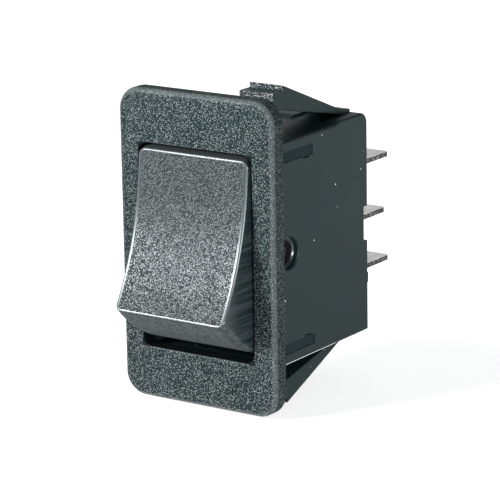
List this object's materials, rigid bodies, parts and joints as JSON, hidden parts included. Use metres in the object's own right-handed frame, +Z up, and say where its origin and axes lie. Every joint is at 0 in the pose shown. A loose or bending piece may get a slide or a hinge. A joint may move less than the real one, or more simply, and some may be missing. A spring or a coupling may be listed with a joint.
{
  "type": "panel rocker switch",
  "caption": "Snap-in panel rocker switch with a textured rectangular bezel, a concave paddle, barbed spring wings above and below, and flat quick-connect blades at the rear.",
  "frame": {"origin": "centre of the bezel's back plane, which lies on the panel's front surface", "axes": "+X right seen from the front, +Y into the panel along the body's depth, +Z up"},
  "size_m": [0.0292, 0.0497, 0.0511],
  "materials": {
    "black_textured": "spark-eroded matte",
    "black_satin": "satin",
    "black_gloss": "textured face, smoother sides",
    "base_dark": "satin",
    "plunger_brown": "semi-gloss",
    "spring_steel": "drawn wire",
    "contact_copper": "rolled copper alloy",
    "blade_tin": "tin-plated, satin",
    "contact_silver": "silver alloy"
  },
  "bodies": {
    "body": {"housing": "black_satin", "bezel": "black_textured", "terminal_base": "base_dark", "terminal_left_upper": "blade_tin", "terminal_left_common": "blade_tin", "terminal_left_lower": "blade_tin", "terminal_right_upper": "blade_tin", "terminal_right_common": "blade_tin", "terminal_right_lower": "blade_tin", "rivet_left_upper": "contact_silver", "rivet_left_lower": "contact_silver", "rivet_right_upper": "contact_silver", "rivet_right_lower": "contact_silver"},
    "rocker": {"rocker": "black_gloss", "spring_left": "spring_steel", "spring_right": "spring_steel"},
    "plunger_left": {"plunger_left": "plunger_brown"},
    "plunger_right": {"plunger_right": "plunger_brown"},
    "lever_left": {"lever_left": "contact_copper", "button_left_upper": "contact_silver", "button_left_lower": "contact_silver"},
    "lever_right": {"lever_right": "contact_copper", "button_right_upper": "contact_silver", "button_right_lower": "contact_silver"},
    "wing_top": {"wing_top": "black_satin"},
    "wing_bottom": {"wing_bottom": "black_satin"}
  },
  "joints": [
    {"name": "rocker_tilt", "type": "hinge", "parent": "body", "child": "rocker", "pos_m": [0, 0.0041, 0], "axis": [1, 0, 0], "range_deg": [0, 33.8]},
    {"name": "lever_left_tilt", "type": "hinge", "parent": "body", "child": "lever_left", "pos_m": [-0.0062, 0.0183, 0], "axis": [1, 0, 0], "range_deg": [-18, 0]},
    {"name": "lever_right_tilt", "type": "hinge", "parent": "body", "child": "lever_right", "pos_m": [0.0062, 0.0183, 0], "axis": [1, 0, 0], "range_deg": [-18, 0]},
    {"name": "plunger_left_slide", "type": "slide", "parent": "rocker", "child": "plunger_left", "axis": [0, -0.9568, 0.2907], "range_m": [0, 0.0012], "stiffness_N_per_m": 600, "springref_m": -0.002, "deforming": ["spring_left"]},
    {"name": "plunger_right_slide", "type": "slide", "parent": "rocker", "child": "plunger_right", "axis": [0, -0.9568, 0.2907], "range_m": [0, 0.0012], "stiffness_N_per_m": 600, "springref_m": -0.002, "deforming": ["spring_right"]},
    {"name": "wing_top_flex", "type": "hinge", "parent": "body", "child": "wing_top", "pos_m": [0.0071, 0.0244, 0.01835], "axis": [1, 0, 0], "range_deg": [0, 10], "stiffness_Nm_per_rad": 0.5, "springref_deg": -5.73},
    {"name": "wing_bottom_flex", "type": "hinge", "parent": "body", "child": "wing_bottom", "pos_m": [0.0071, 0.0244, -0.0179], "axis": [-1, 0, 0], "range_deg": [0, 10], "stiffness_Nm_per_rad": 0.5, "springref_deg": -5.73}
  ],
  "couplings": [
    {"joint": "lever_left_tilt", "follows": "rocker_tilt", "ratio": -0.53254},
    {"joint": "lever_right_tilt", "follows": "rocker_tilt", "ratio": -0.53254}
  ]
}
